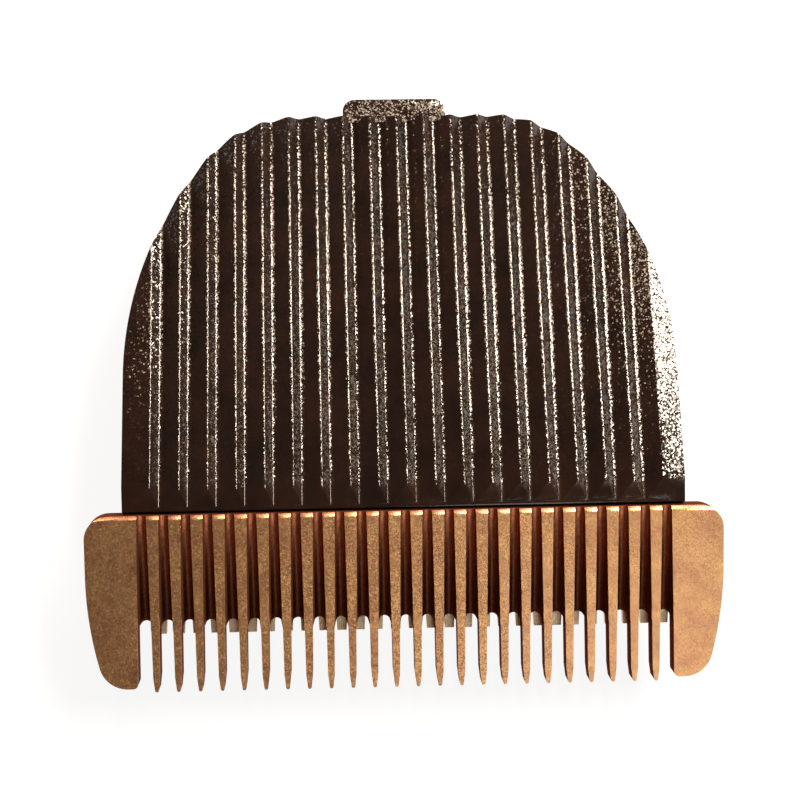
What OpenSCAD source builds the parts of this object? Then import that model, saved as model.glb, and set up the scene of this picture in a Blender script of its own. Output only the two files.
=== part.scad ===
// Clip-on blade set of a hair clipper, lying on its back rim with the ribbed
// skin side up. Millimetres. X runs across the teeth, the tooth tips point to
// -Y and +Z is up. The ribbed cover and the blade face meet at a shallow ridge.

/* [Cover] */
// Overhang of the fixed blade past each side of the cover
overhang = 2.6; // [2:0.1:3.2]
// Length of the ribbed cover from the ridge to its rounded end
cover_l = 29.2; // [27.5:0.1:31]
// Length of the cover's straight sides
cover_side_l = 9.6; // [8:0.1:10.5]
// Large radius from the sides to the shoulders
shoulder_r = 26; // [25:0.5:28]
// Small radius from the shoulders to the flat end
corner_r = 8.6; // [7.5:0.1:9.5]
// Slope of the cover down from the ridge
cover_tilt = 9; // [7:0.5:11]
// Height of the ridge above the back rim
ridge_h = 9.5; // [8.8:0.1:11]
// Thickness of the skirt wall
wall_t = 1.4; // [1:0.1:1.8]
// Thickness of the cover plate under the ribs
plate_t = 1.2; // [1:0.1:1.5]
// Length of the moulding run under the cutter, from the ridge to the guide face
lip_l = 0.4; // [0.3:0.05:0.6]

/* [Ribs] */
// Distance from rib to rib, rounded so that whole ribs fill the cover
rib_pitch_aim = 1.98; // [1.6:0.01:2.4]
// Width of the flat land at each side of the ribs
rib_land_w = 1.74; // [1.2:0.02:2.2]
// Shift of the ribs to the right of the middle
rib_shift = 0.1; // [-0.2:0.01:0.3]
// Height of a rib from valley to crest
rib_h = 0.6; // [0.4:0.05:0.75]
// Part of the pitch taken by the steep flank on the right of each crest
rib_steep_share = 0.35; // [0.3:0.005:0.5]
// Radius of a rib's crest
crest_r = 0.28; // [0.15:0.01:0.35]
// Radius of the valley between two ribs
valley_r = 0.4; // [0.2:0.01:0.45]
// Length of the ramp on which the ribs run out at the ridge
ramp_l = 1.6; // [1:0.1:2.5]

/* [Hook] */
// Width of the hook at the rounded end
hook_w = 7.5; // [5:0.1:9]
// Reach of the hook past the cover
hook_reach = 1.4; // [0.8:0.1:2]
// Thickness of the hook
hook_t = 1.7; // [1.4:0.1:2]
// Depth of the hook's face below the rib crests
hook_drop = 0.35; // [0.2:0.05:0.6]
// Radius of the hook's two corners
hook_corner_r = 0.9; // [0.5:0.1:1.2]

/* [Fixed blade] */
// Width of the fixed blade over its end teeth
blade_w = 44.2; // [43.5:0.1:45.5]
// Reach of the tooth tips from the ridge
blade_reach = 12.8; // [12.4:0.1:13.2]
// Thickness of the fixed blade
blade_t = 1.8; // [1.6:0.05:2]
// Slope of the blade face down from the ridge
blade_tilt = 13; // [11:0.5:14]
// Gap between the cover and the fixed blade's rear edge
blade_gap = 0.45; // [0.4:0.01:0.5]
// Radius of the blade's rear corners
blade_corner_r = 1.6; // [1:0.1:2]
// Bevel along the blade's rear edge
blade_bevel = 0.35; // [0.2:0.05:0.4]

/* [Fixed teeth] */
// Distance from tooth to tooth, rounded so that whole teeth fill the blade
tooth_pitch_aim = 1.51; // [1.4:0.01:1.7]
// Width of an end tooth at its root
end_tooth_w = 3.435; // [3.2:0.005:3.7]
// Width of a thin tooth at its root
tooth_root_w = 0.54; // [0.46:0.01:0.6]
// Width of a thin tooth before its rounded tip
tooth_w = 0.47; // [0.4:0.01:0.5]
// Width of a thin tooth's rounded tip
tooth_tip_w = 0.26; // [0.2:0.01:0.32]
// Length of the tapered tip
tooth_tip_l = 1; // [0.7:0.05:1.4]
// Reach of the root line from the ridge
root_reach = 8.1; // [7.8:0.05:8.4]
// Reach of the end teeth from the ridge
end_reach = 12.55; // [12.2:0.05:12.9]
// Distance from the ridge to where the blade's sides start to curve in
side_start = 4.6; // [3:0.1:5]
// Radius along the outer side of an end tooth
end_tooth_side_r = 26; // [22:0.5:32]
// Radius of an end tooth's outer corner
end_tooth_corner_r = 2; // [1.5:0.05:2.4]
// Radius of an end tooth's inner corner
end_tooth_inner_r = 0.35; // [0.2:0.05:0.6]
// Radius of the floor of a ground groove
groove_r = 0.33; // [0.28:0.01:0.36]
// Depth of a ground groove at the blade's rear edge
groove_start_d = 0.42; // [0.34:0.02:0.6]
// Flare of a ground groove's walls
groove_flare = 5; // [2:0.5:8]

/* [Moving blade] */
// Pitch of the moving teeth as a share of the fixed teeth's pitch
cutter_pitch_share = 0.8333; // [0.8:0.0001:1]
// Width of a moving tooth at its root
cutter_root_w = 0.86; // [0.8:0.01:0.92]
// Width of a moving tooth at its end
cutter_tip_w = 0.66; // [0.55:0.01:0.72]
// Length of a moving tooth
cutter_tooth_l = 2.4; // [2:0.1:2.6]
// Reach of the moving teeth past the root line
cutter_overlap = 1; // [0.7:0.05:1.3]
// Thickness of the moving blade
cutter_t = 1; // [0.8:0.05:1.1]
// Clearance of the moving blade from the corner blocks at the end of its travel
cutter_side_gap = 1.1; // [0.6:0.02:1.8]
// Side shift of the moving blade as it rests
cutter_shift = 0.54; // [0:0.01:0.7]
// Travel of the moving blade to each side of the middle
cutter_travel = 1.3; // [1:0.1:1.5]

/* [Drive block] */
// Step from the moving blade's side in to the drive block
block_step = 1.5; // [1:0.1:2]
// Thickness of the drive block under the moving blade
block_t = 1.9; // [1.7:0.1:2]
// Width of the drive fork
fork_w = 10; // [9:0.5:11]
// Reach of the drive fork behind the ridge
fork_reach = 9; // [8.5:0.1:10]
// Width of the drive slot in the fork
slot_w = 4.8; // [4.6:0.1:5.2]
// Length of the drive slot
slot_l = 6; // [5.4:0.1:6.5]
// Radius of the pegs that hold the moving blade
peg_r = 0.9; // [0.7:0.05:1]
// Distance of each peg from the drive block's end
peg_inset = 3.5; // [2.5:0.1:4.2]

/* [Spring] */
// Diameter of the spring wire
wire_d = 0.7; // [0.5:0.05:0.8]
// Radius of the posts that carry the coils
post_r = 1; // [0.8:0.05:1.1]
// Turns in each coil
coil_turns = 3; // [2:1:4]
// Distance from the ridge back to the coils
coil_back = 8; // [7.5:0.1:9]
// Depth of the coils' axis below the ridge
coil_drop = 5.9; // [5.7:0.1:6.2]
// Offset of each coil outwards from the spring's foot
coil_offset = 2.1; // [1.8:0.1:2.6]

/* [Screws] */
// Radius of a blade screw's shank
screw_r = 0.8; // [0.7:0.02:0.86]
// Radius of a blade screw's head
screw_head_r = 1.5; // [1.3:0.05:1.6]
// Height of a blade screw's head
screw_head_h = 1.1; // [0.9:0.1:1.3]
// Distance of each blade screw from the fixed blade's side
screw_inset = 5.05; // [5:0.05:5.4]
// Distance of the blade screws from the ridge
screw_reach = 2.1; // [1.9:0.05:2.5]
// Steel left between a threaded hole and the ground grooves above it
thread_floor = 0.15; // [0.1:0.01:0.25]

/* [Hidden] */

// One overrun serves all cuts
over = 1;
// Steps along an arc, a blend and a round hole
arc_n = 12;
blend_n = 4;
hole_fn = 48;

// Running clearance between lapped faces, and round a screw or a peg
lap_gap = 0.04;
fit_gap = 0.03;
// Clearance of the moving pieces from the moulding
guide_gap = 0.15;

// Widths that follow the fixed blade
cover_w = blade_w - 2 * overhang;
ribbed_w = cover_w - 2 * rib_land_w;
rib_n = round(ribbed_w / rib_pitch_aim);
rib_pitch = ribbed_w / rib_n;
opening_w = blade_w - 2 * end_tooth_w;
gap_n = round((opening_w + tooth_w) / tooth_pitch_aim);
tooth_n = gap_n - 1;
tooth_pitch = (opening_w + tooth_w) / gap_n;
cutter_pitch = tooth_pitch * cutter_pitch_share;
cutter_tooth_n = floor(opening_w / cutter_pitch);
screw_x = blade_w / 2 - screw_inset;

// The ridge stands where the part's box is centred on the origin
hook_end_y = (cover_l + hook_reach) * cos(cover_tilt) - hook_drop * sin(cover_tilt);
tip_end_y = blade_reach * cos(blade_tilt);
ridge_y = (tip_end_y - hook_end_y) / 2;

// Levels of the ribbed cover, seen square to its face
body_d = ridge_h + cover_l * sin(cover_tilt);
plate_under = -rib_h - plate_t;
hook_root = 0.4;
rib_steep = rib_pitch * rib_steep_share;
fall_slope = -atan(rib_h / rib_steep);
rise_slope = atan(rib_h / (rib_pitch - rib_steep));

// Levels of the blades, seen square to the blade face
rear_edge = blade_gap;
cutter_top = -blade_t - lap_gap;
cutter_under = cutter_top - cutter_t;
cutter_tip = root_reach + cutter_overlap;
cutter_bar_front = cutter_tip - cutter_tooth_l;
cutter_bar_l = 1.5;
cutter_bar_rear = cutter_bar_front - cutter_bar_l;
cutter_rear = lip_l + guide_gap;
cutter_relief = cutter_t / 2;
block_under = cutter_under - block_t;
block_inset = 0.5;
groove_fall = atan((blade_t - groove_start_d) / (root_reach - rear_edge));
end_inner = opening_w / 2;

// The threaded holes end where a floor is left under the grooves at their front side
thread_front = screw_reach + screw_r + fit_gap;
thread_d = blade_t - groove_start_d - (thread_front - rear_edge) * tan(groove_fall) - thread_floor;

// Beam across the front of the moulding, and the fork that passes under it
beam_t = 2;
beam_drop = 1.5;
beam_under = -beam_drop - beam_t;
beam_back = 1.6;
fork_drop = 4.1;
fork_top = ridge_h - fork_drop;
fork_under = 1.2;
fork_corner_r = 1.2;
slot_end_wall = 1.4;
fork_neck_front = cutter_bar_rear - block_inset;

// Corner blocks that carry the blade screws
pad_wall = 1;
pad_front_wall = 0.6;
pad_inner = screw_x - screw_head_r - pad_wall;
pad_outer = cover_w / 2;
pad_front = screw_reach + screw_head_r + pad_front_wall;
pad_back = 2.2;
pad_corner_r = 1;
seat_t = 2.2;
head_gap = 0.3;
screw_gap = 0.1;
recess_w = 0.45;
recess_d = 0.6;

// Widths of the moving blade's body and of the drive block under it
cutter_body_w = 2 * (pad_inner - cutter_travel - cutter_side_gap);
block_w = cutter_body_w - 2 * block_step;
peg_x = block_w / 2 - peg_inset;

// Feet of the spring, clear of the fork at the end of its travel
foot_l = 1.4;
foot_clear = 0.7;
foot_end_x = fork_w / 2 + cutter_travel + foot_clear;
foot_x = foot_end_x + foot_l;

// Lugs that carry the spring posts
lug_t = 1.2;
lug_l = 4.4;
coil_pitch = wire_d + fit_gap;
coil_l = coil_turns * coil_pitch + wire_d;
coil_in_x = foot_x + coil_offset;
coil_h = ridge_h - coil_drop;
post_out = coil_in_x + coil_l + guide_gap;
coil_r = post_r + wire_d / 2 + guide_gap / 2;
coil_y = ridge_y + coil_back;

// Route of the spring wire: two feet press the drive block, the bow bears under the cover
wire_sides = 8;
turn_steps = 16;
bend_share = 0.5;
wire_top = coil_h + coil_r;
wire_x = coil_in_x + wire_d / 2;
foot_back = -2.4;
foot_gap = 0.08;
foot_z = ridge_h + foot_back * tan(blade_tilt) + (block_under - foot_gap - wire_d / 2) / cos(blade_tilt);
bow_bend = 1.6;
bow_back = (ridge_h - wire_top + (plate_under - foot_gap - wire_d / 2) / cos(cover_tilt)) / tan(cover_tilt);

function normal(a) = [-sin(a), cos(a)];

// Points of an arc of radius r round c, from angle a0 to a1
function arc(c, r, a0, a1, n = arc_n) =
    [for (k = [0:n]) c + r * [cos(a0 + (a1 - a0) * k / n), sin(a0 + (a1 - a0) * k / n)]];

// Points of the round between two flanks with slopes a_in and a_out that meet at v
function blend(v, a_in, a_out, r) =
    let (side = a_in > a_out ? -1 : 1,
         n_in = normal(a_in),
         n_out = normal(a_out),
         c = v + side * r * (n_in + n_out) / (1 + n_in * n_out))
    [for (k = [0:blend_n]) c - side * r * normal(a_in + (a_out - a_in) * k / blend_n)];

function mirrored(points) = [for (k = [len(points) - 1:-1:0]) [-points[k].x, points[k].y]];

function mirrored3(points) = [for (k = [len(points) - 1:-1:0]) [-points[k].x, points[k].y, points[k].z]];

// Places a child drawn on the cover face: y runs from the ridge to the hook, z outwards
module on_cover() {
    translate([0, ridge_y, ridge_h]) rotate([-cover_tilt, 0, 0]) children();
}

// Places a child drawn on the blade face: y runs from the tips to the ridge, z outwards
module on_blade() {
    translate([0, ridge_y, ridge_h]) rotate([blade_tilt, 0, 0]) children();
}

module both_sides() {
    children();
    mirror([1, 0, 0]) children();
}

// Outline of the cover, moved in by an inset, with its front edge at y = front
module cover_outline(inset, front) {
    half = cover_w / 2 - inset;
    big = shoulder_r - inset;
    small = corner_r - inset;
    turn = asin((cover_l - cover_side_l - corner_r) / (shoulder_r - corner_r));
    big_c = [cover_w / 2 - shoulder_r, cover_side_l];
    small_c = big_c + (shoulder_r - corner_r) * [cos(turn), sin(turn)];
    right = concat([[half, front]], arc(big_c, big, 0, turn), arc(small_c, small, turn, 90));
    polygon(concat(right, mirrored(right)));
}

// Cross-section of the cover: two flat lands with a row of one-sided valleys between them
module rib_profile() {
    start = rib_shift - ribbed_w / 2;
    ribs = [for (k = [0:rib_n - 1])
        let (crest = start + k * rib_pitch)
        each concat(
            blend([crest, 0], k == 0 ? 0 : rise_slope, fall_slope, crest_r),
            blend([crest + rib_steep, -rib_h], fall_slope, rise_slope, valley_r))];
    polygon(concat(
        [[cover_w, -body_d * 2], [-cover_w, -body_d * 2], [-cover_w, 0]],
        ribs,
        blend([start + ribbed_w, 0], rise_slope, 0, crest_r),
        [[cover_w, 0]]));
}

// The solid moulding under the ribs, which run out on a ramp down to the ridge
module ribbed_body() {
    intersection() {
        translate([0, 0, -body_d * 2]) linear_extrude(body_d * 2 + over) cover_outline(0, 0);
        translate([0, cover_l + over, 0]) rotate([90, 0, 0])
            linear_extrude(cover_l + over * 2) rib_profile();
        rotate([90, 0, 90]) translate([0, 0, -cover_w]) linear_extrude(cover_w * 2)
            polygon([[-ramp_l, -body_d * 3], [-ramp_l, -rib_h * 2], [ramp_l * 2, rib_h],
                     [cover_l * 2, rib_h], [cover_l * 2, -body_d * 3]]);
    }
}

module hook() {
    translate([0, 0, -hook_drop - hook_t]) linear_extrude(hook_t) {
        right = concat(
            [[hook_w / 2, cover_l - hook_root]],
            arc([hook_w / 2 - hook_corner_r, cover_l + hook_reach - hook_corner_r], hook_corner_r, 0, 90));
        polygon(concat(right, mirrored(right)));
    }
}

// Block at a front corner: the fixed blade seats on it and its screw comes up through it
module screw_pad() {
    translate([0, 0, -body_d]) linear_extrude(body_d - blade_t) {
        polygon(concat(
            [[pad_inner, pad_back]],
            arc([pad_inner + pad_corner_r, -pad_front + pad_corner_r], pad_corner_r, 180, 270),
            arc([pad_outer - pad_corner_r, -pad_front + pad_corner_r], pad_corner_r, 270, 360),
            [[pad_outer, -rear_edge], [pad_outer - wall_t, -rear_edge], [pad_outer - wall_t, pad_back]]));
    }
}

module screw_pad_holes() {
    seat = -blade_t - seat_t;
    translate([screw_x, -screw_reach, 0]) {
        translate([0, 0, seat - over]) cylinder(r = screw_r + screw_gap, h = seat_t + over * 2, $fn = hole_fn);
        translate([0, 0, -body_d * 2]) cylinder(r = screw_head_r + head_gap / 2, h = body_d * 2 + seat, $fn = hole_fn);
    }
}

// Lug and post for one coil of the spring
module spring_post() {
    translate([post_out, coil_y - lug_l / 2, 0]) cube([lug_t, lug_l, ridge_h - lug_l / 2]);
    translate([coil_in_x, coil_y, coil_h]) rotate([0, 90, 0])
        cylinder(r = post_r, h = coil_l + guide_gap + lug_t / 2, $fn = hole_fn);
}

// Front beam: its front face guides the rear edge of the moving blade
module front_beam() {
    width = cover_w - wall_t;
    translate([-width / 2, -lip_l, beam_under]) cube([width, lip_l + beam_back, beam_t]);
}

// Space of the fixed blade, which the cover steps back from
module blade_seat() {
    translate([-blade_w / 2, -blade_reach, -blade_t]) cube([blade_w, blade_reach - lip_l, ridge_h]);
}

module blade_housing() {
    color([0.13, 0.09, 0.07]) difference() {
        union() {
            difference() {
                on_cover() {
                    ribbed_body();
                    hook();
                }
                on_cover() translate([0, 0, -body_d * 3]) linear_extrude(body_d * 3 + plate_under)
                    cover_outline(wall_t, -over);
                on_blade() blade_seat();
            }
            intersection() {
                both_sides() spring_post();
                on_cover() translate([0, 0, -body_d * 2]) linear_extrude(body_d * 2 + plate_under + plate_t / 2)
                    cover_outline(wall_t / 2, 0);
            }
            on_blade() front_beam();
            on_blade() both_sides() screw_pad();
        }
        on_blade() both_sides() screw_pad_holes();
        translate([-blade_w, -blade_w, -body_d * 3]) cube([blade_w * 2, blade_w * 2, body_d * 3]);
    }
}

// Right half of the fixed blade's outline, from its front edge round to its rear edge
function blade_side() =
    let (half = blade_w / 2,
         span = end_tooth_side_r - end_tooth_corner_r,
         side_c = [half - end_tooth_side_r, -side_start],
         meet = -asin((end_reach - end_tooth_corner_r - side_start) / span),
         corner_c = side_c + span * [cos(meet), sin(meet)],
         inner_c = [end_inner + end_tooth_inner_r, end_tooth_inner_r - end_reach])
    concat(
        arc(inner_c, end_tooth_inner_r, 180, 270, blend_n),
        arc(corner_c, end_tooth_corner_r, -90, meet),
        arc(side_c, end_tooth_side_r, meet, 0),
        arc([half - blade_corner_r, -rear_edge - blade_corner_r], blade_corner_r, 0, 90));

// Rounded tips of the thin teeth, from left to right
function tooth_tips() =
    [for (k = [0:tooth_n - 1])
        let (x = (k - (tooth_n - 1) / 2) * tooth_pitch,
             round_r = tooth_tip_w / 2,
             base = -blade_reach + tooth_tip_l)
        each concat(
            [[x - tooth_w / 2, base]],
            arc([x, -blade_reach + round_r], round_r, 180, 360, blend_n),
            [[x + tooth_w / 2, base]])];

module blade_plan() {
    side = blade_side();
    polygon(concat(mirrored(side), tooth_tips(), side));
}

// Clear space between two thin teeth, with a round root
module tooth_slot() {
    root_half = (tooth_pitch - tooth_root_w) / 2;
    tip_half = (tooth_pitch - tooth_w) / 2;
    right = concat([[tip_half, -blade_reach - over]], arc([0, -root_reach - root_half], root_half, 0, 90, blend_n));
    translate([0, 0, -blade_t - over]) linear_extrude(blade_t + over * 2)
        polygon(concat(right, mirrored(right)));
}

// One ground groove, which falls towards the tips until it breaks through the plate
module ground_groove() {
    depth = blade_t * 2;
    top_half = groove_r + (depth - groove_r) * tan(groove_flare);
    translate([0, -rear_edge, -groove_start_d]) rotate([groove_fall, 0, 0]) rotate([90, 0, 0])
        translate([0, 0, -over]) linear_extrude(blade_reach + over * 2)
            polygon(concat(
                arc([0, groove_r], groove_r, 180, 360, blend_n * 2),
                [[top_half, depth], [-top_half, depth]]));
}

module fixed_blade() {
    color([0.72, 0.52, 0.4]) on_blade() difference() {
        translate([0, 0, -blade_t]) linear_extrude(blade_t) blade_plan();
        for (k = [0:gap_n - 1]) translate([(k - (gap_n - 1) / 2) * tooth_pitch, 0, 0]) {
            ground_groove();
            tooth_slot();
        }
        translate([-blade_w, -rear_edge - blade_bevel, 0]) rotate([-45, 0, 0])
            cube([blade_w * 2, blade_t, blade_t]);
        both_sides() translate([screw_x, -screw_reach, -blade_t - over])
            cylinder(r = screw_r + fit_gap, h = thread_d + over, $fn = hole_fn);
    }
}

// Front outline of the moving blade's teeth, from left to right
function cutter_teeth() =
    [for (k = [0:cutter_tooth_n - 1])
        let (x = (k - (cutter_tooth_n - 1) / 2) * cutter_pitch)
        each [[x - cutter_root_w / 2, -cutter_bar_front], [x - cutter_tip_w / 2, -cutter_tip],
              [x + cutter_tip_w / 2, -cutter_tip], [x + cutter_root_w / 2, -cutter_bar_front]]];

module moving_blade() {
    half = cutter_tooth_n * cutter_pitch / 2;
    color([0.75, 0.6, 0.45]) on_blade() translate([cutter_shift, 0, 0]) difference() {
        translate([0, 0, cutter_under]) linear_extrude(cutter_t) polygon(concat(
            [[-half, -cutter_bar_front]],
            cutter_teeth(),
            [[half, -cutter_bar_front], [half, -cutter_bar_rear],
             [cutter_body_w / 2, -cutter_bar_rear], [cutter_body_w / 2, -cutter_rear],
             [-cutter_body_w / 2, -cutter_rear], [-cutter_body_w / 2, -cutter_bar_rear],
             [-half, -cutter_bar_rear]]));
        rotate([90, 0, 90]) translate([0, 0, -blade_w]) linear_extrude(blade_w * 2)
            polygon([[-cutter_bar_front, cutter_under], [-cutter_tip - over, cutter_under - over],
                     [-cutter_tip - over, cutter_under + cutter_relief], [-cutter_tip, cutter_under + cutter_relief]]);
        both_sides() translate([peg_x, -(cutter_bar_rear + cutter_rear) / 2, cutter_under - over])
            cylinder(r = peg_r + fit_gap, h = cutter_t + over * 2, $fn = hole_fn);
    }
}

// Flat top of the drive block, under the moving blade, with the pegs that hold it
module block_plate() {
    front = cutter_bar_rear;
    rear = cutter_rear;
    translate([-block_w / 2, -front, block_under]) cube([block_w, front - rear, block_t]);
    both_sides() translate([peg_x, -(front + rear) / 2, block_under])
        cylinder(r = peg_r, h = block_t + cutter_t - fit_gap, $fn = hole_fn);
}

// Fork that reaches back under the beam, with the open slot for the drive pin
module drive_fork() {
    y0 = ridge_y - fork_neck_front * cos(blade_tilt);
    y1 = ridge_y + fork_reach;
    half = fork_w / 2;
    difference() {
        translate([0, 0, fork_under]) linear_extrude(fork_top - fork_under) polygon(concat(
            [[-half, y0], [half, y0]],
            arc([half - fork_corner_r, y1 - fork_corner_r], fork_corner_r, 0, 90, blend_n),
            arc([-half + fork_corner_r, y1 - fork_corner_r], fork_corner_r, 90, 180, blend_n)));
        translate([-slot_w / 2, y1 - slot_end_wall - slot_l, fork_under - over])
            cube([slot_w, slot_l, fork_top - fork_under + over * 2]);
        on_blade() translate([-blade_w / 2, -cutter_rear, beam_under - guide_gap])
            cube([blade_w, cutter_rear + beam_back + guide_gap * 2, ridge_h]);
        on_blade() translate([-blade_w / 2, -blade_reach, cutter_under])
            cube([blade_w, blade_reach, ridge_h]);
    }
}

module drive_block() {
    color([0.85, 0.84, 0.8]) translate([cutter_shift, 0, 0]) {
        on_blade() block_plate();
        drive_fork();
    }
}

function unit(v) = v / norm(v);

function tangent(p, k) = unit(p[min(k + 1, len(p) - 1)] - p[max(k - 1, 0)]);

// Rings of the wire's section, carried along the points without a twist
function rings(p, d, k, u) =
    k == len(p) ? [] :
    let (t = tangent(p, k),
         side = unit(u - (u * t) * t),
         up = cross(t, side))
    concat(
        [for (s = [0:wire_sides - 1])
            let (a = 360 * s / wire_sides)
            p[k] + d / 2 * (cos(a) * side + sin(a) * up)],
        rings(p, d, k + 1, side));

// Round wire of diameter d along the points p
module wire(p, d) {
    n = wire_sides;
    last = (len(p) - 1) * n;
    polyhedron(rings(p, d, 0, [0, 0, 1]), concat(
        [[for (s = [0:n - 1]) s]],
        [for (k = [0:len(p) - 2], s = [0:n - 1])
            let (next = (s + 1) % n)
            [k * n + s, (k + 1) * n + s, (k + 1) * n + next, k * n + next]],
        [[for (s = [n - 1:-1:0]) last + s]]));
}

// Points of a rounded bend at b, between a straight from a and a straight to c
function bend(a, b, c, l) =
    let (p0 = b + l * unit(a - b),
         p2 = b + l * unit(c - b))
    [for (k = [0:blend_n])
        let (t = k / blend_n)
        (1 - t) * (1 - t) * p0 + 2 * t * (1 - t) * b + t * t * p2];

// Right half of the spring, from its foot through the coil to the middle of the bow
function spring_half() =
    let (foot_y = ridge_y + foot_back,
         bow_y = ridge_y + bow_back,
         foot = [foot_x, foot_y, foot_z],
         coil_in = [wire_x, coil_y, wire_top],
         coil_out = [wire_x + coil_turns * coil_pitch, coil_y, wire_top],
         corner = [coil_out.x, bow_y, wire_top])
    concat(
        [[foot_end_x, foot_y, foot_z]],
        bend([foot_end_x, foot_y, foot_z], foot, coil_in, wire_d),
        [for (k = [0:coil_turns * turn_steps])
            let (a = 90 - 360 * k / turn_steps)
            [wire_x + coil_pitch * k / turn_steps, coil_y + coil_r * cos(a), coil_h + coil_r * sin(a)]],
        bend(coil_out, corner, [0, bow_y, wire_top], bow_bend));

module tension_spring() {
    right = spring_half();
    color([0.8, 0.8, 0.82]) wire(concat(right, mirrored3(right)), wire_d);
}

// Pan-head screw that comes up through the corner block into the fixed blade
module blade_screw() {
    head_top = -blade_t - seat_t;
    tip = -blade_t + thread_d - fit_gap;
    color([0.7, 0.7, 0.72]) on_blade() translate([screw_x, -screw_reach, 0]) difference() {
        union() {
            translate([0, 0, head_top - screw_head_h]) cylinder(r = screw_head_r, h = screw_head_h, $fn = hole_fn);
            translate([0, 0, head_top - screw_head_h / 2])
                cylinder(r = screw_r, h = tip - head_top + screw_head_h / 2, $fn = hole_fn);
        }
        for (turn = [0, 90]) rotate([0, 0, turn])
            translate([-screw_r, -recess_w / 2, head_top - screw_head_h - over])
                cube([screw_r * 2, recess_w, recess_d + over]);
    }
}

module blade_screw_right() {
    blade_screw();
}

module blade_screw_left() {
    mirror([1, 0, 0]) blade_screw();
}

blade_housing();
fixed_blade();
moving_blade();
drive_block();
tension_spring();
blade_screw_left();
blade_screw_right();
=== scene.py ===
import logging
import math
from abc import ABC, abstractmethod
from dataclasses import dataclass, field
from enum import Enum
from typing import Any

import bmesh
import bpy
from mathutils import Matrix, Vector


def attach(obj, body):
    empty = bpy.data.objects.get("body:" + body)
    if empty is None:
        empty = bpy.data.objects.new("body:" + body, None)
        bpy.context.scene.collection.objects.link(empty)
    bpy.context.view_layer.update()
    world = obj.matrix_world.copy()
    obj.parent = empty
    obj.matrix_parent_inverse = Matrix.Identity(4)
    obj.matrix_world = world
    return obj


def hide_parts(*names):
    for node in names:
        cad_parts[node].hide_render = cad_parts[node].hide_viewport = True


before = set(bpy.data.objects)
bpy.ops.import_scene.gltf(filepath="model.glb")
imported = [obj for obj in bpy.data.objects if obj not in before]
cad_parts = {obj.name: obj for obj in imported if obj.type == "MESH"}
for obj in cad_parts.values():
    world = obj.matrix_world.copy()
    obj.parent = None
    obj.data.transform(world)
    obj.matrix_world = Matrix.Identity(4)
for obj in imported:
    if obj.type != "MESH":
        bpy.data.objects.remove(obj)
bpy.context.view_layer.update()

log = logging.getLogger("clipper_blade_set")

# Sizes are written in millimetres, and Blender works in metres
MM = 0.001

Point2 = tuple[float, float]
Point3 = tuple[float, float, float]


class Body(Enum):
    """CAD bodies that the pieces ride on."""

    HOUSING = "housing"
    CUTTER = "cutter"


class Slot(Enum):
    """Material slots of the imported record."""

    HOUSING_PLASTIC = "housing_plastic"
    COATED_STEEL = "coated_steel"
    CUTTER_STEEL = "cutter_steel"
    DRIVE_PLASTIC = "drive_plastic"
    SPRING_STEEL = "spring_steel"
    SCREW_STEEL = "screw_steel"


class Work(Enum):
    """What a tool solid does to the blank it meets."""

    CUT = "DIFFERENCE"
    JOIN = "UNION"
    TRIM = "INTERSECT"


def srgb(code: str) -> tuple[float, float, float, float]:
    """Turns an sRGB hex value into a linear colour.

    Args:
        code: The colour as #RRGGBB.

    Returns:
        Linear red, green, blue and an alpha of one.
    """
    parts = [int(code[k:k + 2], 16) / 255 for k in (1, 3, 5)]
    linear = [c / 12.92 if c <= 0.04045 else ((c + 0.055) / 1.055) ** 2.4 for c in parts]
    return (linear[0], linear[1], linear[2], 1.0)


def per_mm(size: float) -> float:
    """Gives the texture scale at which one feature is this many millimetres wide."""
    return 1.0 / (size * MM)


def add_node(tree: bpy.types.NodeTree, kind: str, inputs: dict[Any, Any] | None = None,
             **settings: Any) -> bpy.types.Node:
    """Adds a node with its settings, socket values and links.

    Args:
        tree: The node tree to add to.
        kind: Blender's name of the node type.
        inputs: For each socket name or number a value, a socket to link from, or a list of such sockets.
        **settings: Attributes of the node.

    Returns:
        The new node.
    """
    node = tree.nodes.new(kind)
    for name, value in settings.items():
        setattr(node, name, value)
    for key, value in (inputs or {}).items():
        for item in value if isinstance(value, list) else [value]:
            if isinstance(item, bpy.types.NodeSocket):
                tree.links.new(item, node.inputs[key])
            else:
                node.inputs[key].default_value = item
    return node


def arc(centre: Point2, radius: float, start: float, end: float, steps: int = 24) -> list[Point2]:
    """Gives the points of an arc.

    Args:
        centre: Centre of the arc.
        radius: Radius of the arc.
        start: First angle in degrees.
        end: Last angle in degrees.
        steps: Number of steps along the arc.

    Returns:
        The points from the first angle to the last.
    """
    angles = [math.radians(start + (end - start) * k / steps) for k in range(steps + 1)]
    return [(centre[0] + radius * math.cos(a), centre[1] + radius * math.sin(a)) for a in angles]


def mirrored(points: list[Point2]) -> list[Point2]:
    """Mirrors points at X = 0 and turns their order round."""
    return [(-x, y) for x, y in reversed(points)]


def place_object(name: str, mesh: bpy.types.Mesh) -> bpy.types.Object:
    """Puts a mesh in the scene as an object at the origin."""
    item = bpy.data.objects.new(name, mesh)
    bpy.context.scene.collection.objects.link(item)
    return item


def line_object(name: str, points: list[Point2]) -> bpy.types.Object:
    """Makes an open line of edges in the XY plane.

    Args:
        name: Name of the object.
        points: The line's points in millimetres.

    Returns:
        The object, whose mesh has edges only.
    """
    mesh = bpy.data.meshes.new(name)
    mesh.from_pydata([(x * MM, y * MM, 0.0) for x, y in points],
                     [(k, k + 1) for k in range(len(points) - 1)], [])
    return place_object(name, mesh)


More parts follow.
